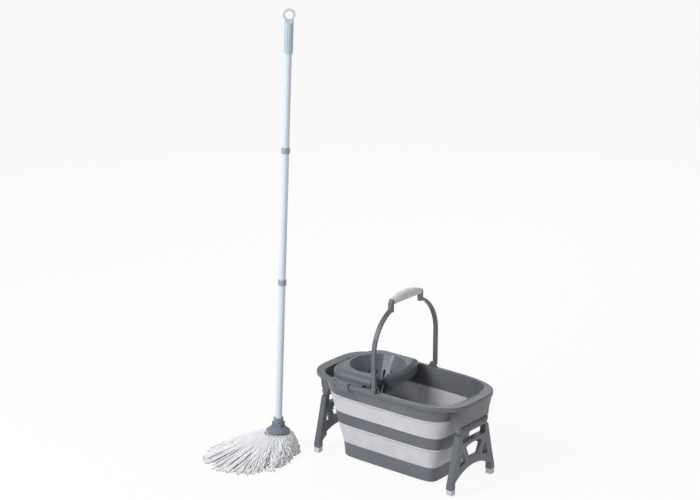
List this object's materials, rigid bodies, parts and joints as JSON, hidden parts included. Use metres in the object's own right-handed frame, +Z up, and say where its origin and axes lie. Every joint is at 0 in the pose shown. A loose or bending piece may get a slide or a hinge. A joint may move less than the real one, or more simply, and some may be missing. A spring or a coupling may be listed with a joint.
{
  "type": "mop and bucket with wringer",
  "caption": "Collapsible oblong bucket on folding leg frames with a carrying handle and a clip-on cone wringer, and a string mop on a sectional pole.",
  "frame": {"origin": "on the floor, in the middle of the footprint of the whole set, bucket and mop", "axes": "+Z up, +X along the bucket's long side towards its pouring end, +Y across the bucket"},
  "size_m": [0.703, 0.5154, 1.2147],
  "materials": {
    "pp_grey": "satin moulded polypropylene",
    "tpr_pale": "matt thermoplastic rubber",
    "steel_pin": "plain drawn steel",
    "pole_paint": "pale blue-white powder coat",
    "pole_plastic": "matt moulded",
    "socket_slate": "matt moulded",
    "white_plastic": "matt moulded",
    "cotton": "twisted cotton yarn"
  },
  "bodies": {
    "rim": {"bucket_rim": "pp_grey", "leg_hinge_pins": "steel_pin", "band_upper": "tpr_pale"},
    "ring": {"ring_middle": "pp_grey", "band_lower": "tpr_pale"},
    "base": {"base_pan": "pp_grey"},
    "leg_right": {"leg_right": "pp_grey", "foot_caps_right": "tpr_pale"},
    "leg_left": {"leg_left": "pp_grey", "foot_caps_left": "tpr_pale"},
    "handle": {"handle_bail": "pp_grey", "handle_grip_upper": "tpr_pale", "handle_grip_lower": "tpr_pale"},
    "wringer": {"wringer_tray": "pp_grey"},
    "mop": {"pole_tube_lower": "pole_paint", "pole_tube_middle": "pole_paint", "pole_tube_upper": "pole_paint", "coupling_nut_lower": "pole_plastic", "coupling_screw_lower": "pole_plastic", "coupling_nut_upper": "pole_plastic", "coupling_screw_upper": "pole_plastic", "pole_grip": "pole_plastic", "pole_foot_plug": "pole_plastic", "mop_socket": "socket_slate", "yarn_retainer": "white_plastic", "mop_yarns": "cotton"}
  },
  "joints": [
    {"name": "bucket_collapse", "type": "slide", "parent": "rim", "child": "ring", "axis": [0, 0, 1], "range_m": [0, 0.08], "deforming": ["band_upper"]},
    {"name": "base_rise", "type": "slide", "parent": "ring", "child": "base", "axis": [0, 0, 1], "range_m": [0, 0.09], "deforming": ["band_lower"]},
    {"name": "leg_fold_right", "type": "hinge", "parent": "rim", "child": "leg_right", "pos_m": [0.32848, 0.11942, 0.1675], "axis": [0, 1, 0], "range_deg": [0, 72]},
    {"name": "leg_fold_left", "type": "hinge", "parent": "rim", "child": "leg_left", "pos_m": [-0.11552, 0.11942, 0.1675], "axis": [0, -1, 0], "range_deg": [0, 72]},
    {"name": "handle_swing", "type": "hinge", "parent": "rim", "child": "handle", "pos_m": [0.11148, 0.11942, 0.246], "axis": [0, 1, 0], "range_deg": [0, 84]},
    {"name": "wringer_lift", "type": "slide", "parent": "rim", "child": "wringer", "axis": [0, 0, 1], "range_m": [0, 0.12]},
    {"name": "mop_lift", "type": "slide", "parent": "rim", "child": "mop", "axis": [0, 0, 1], "range_m": [0, 0.3]}
  ],
  "couplings": [
    {"joint": "base_rise", "follows": "bucket_collapse", "ratio": 1.125},
    {"joint": "leg_fold_right", "follows": "bucket_collapse", "rad_per_m": 15.707},
    {"joint": "leg_fold_left", "follows": "bucket_collapse", "rad_per_m": 15.707}
  ]
}
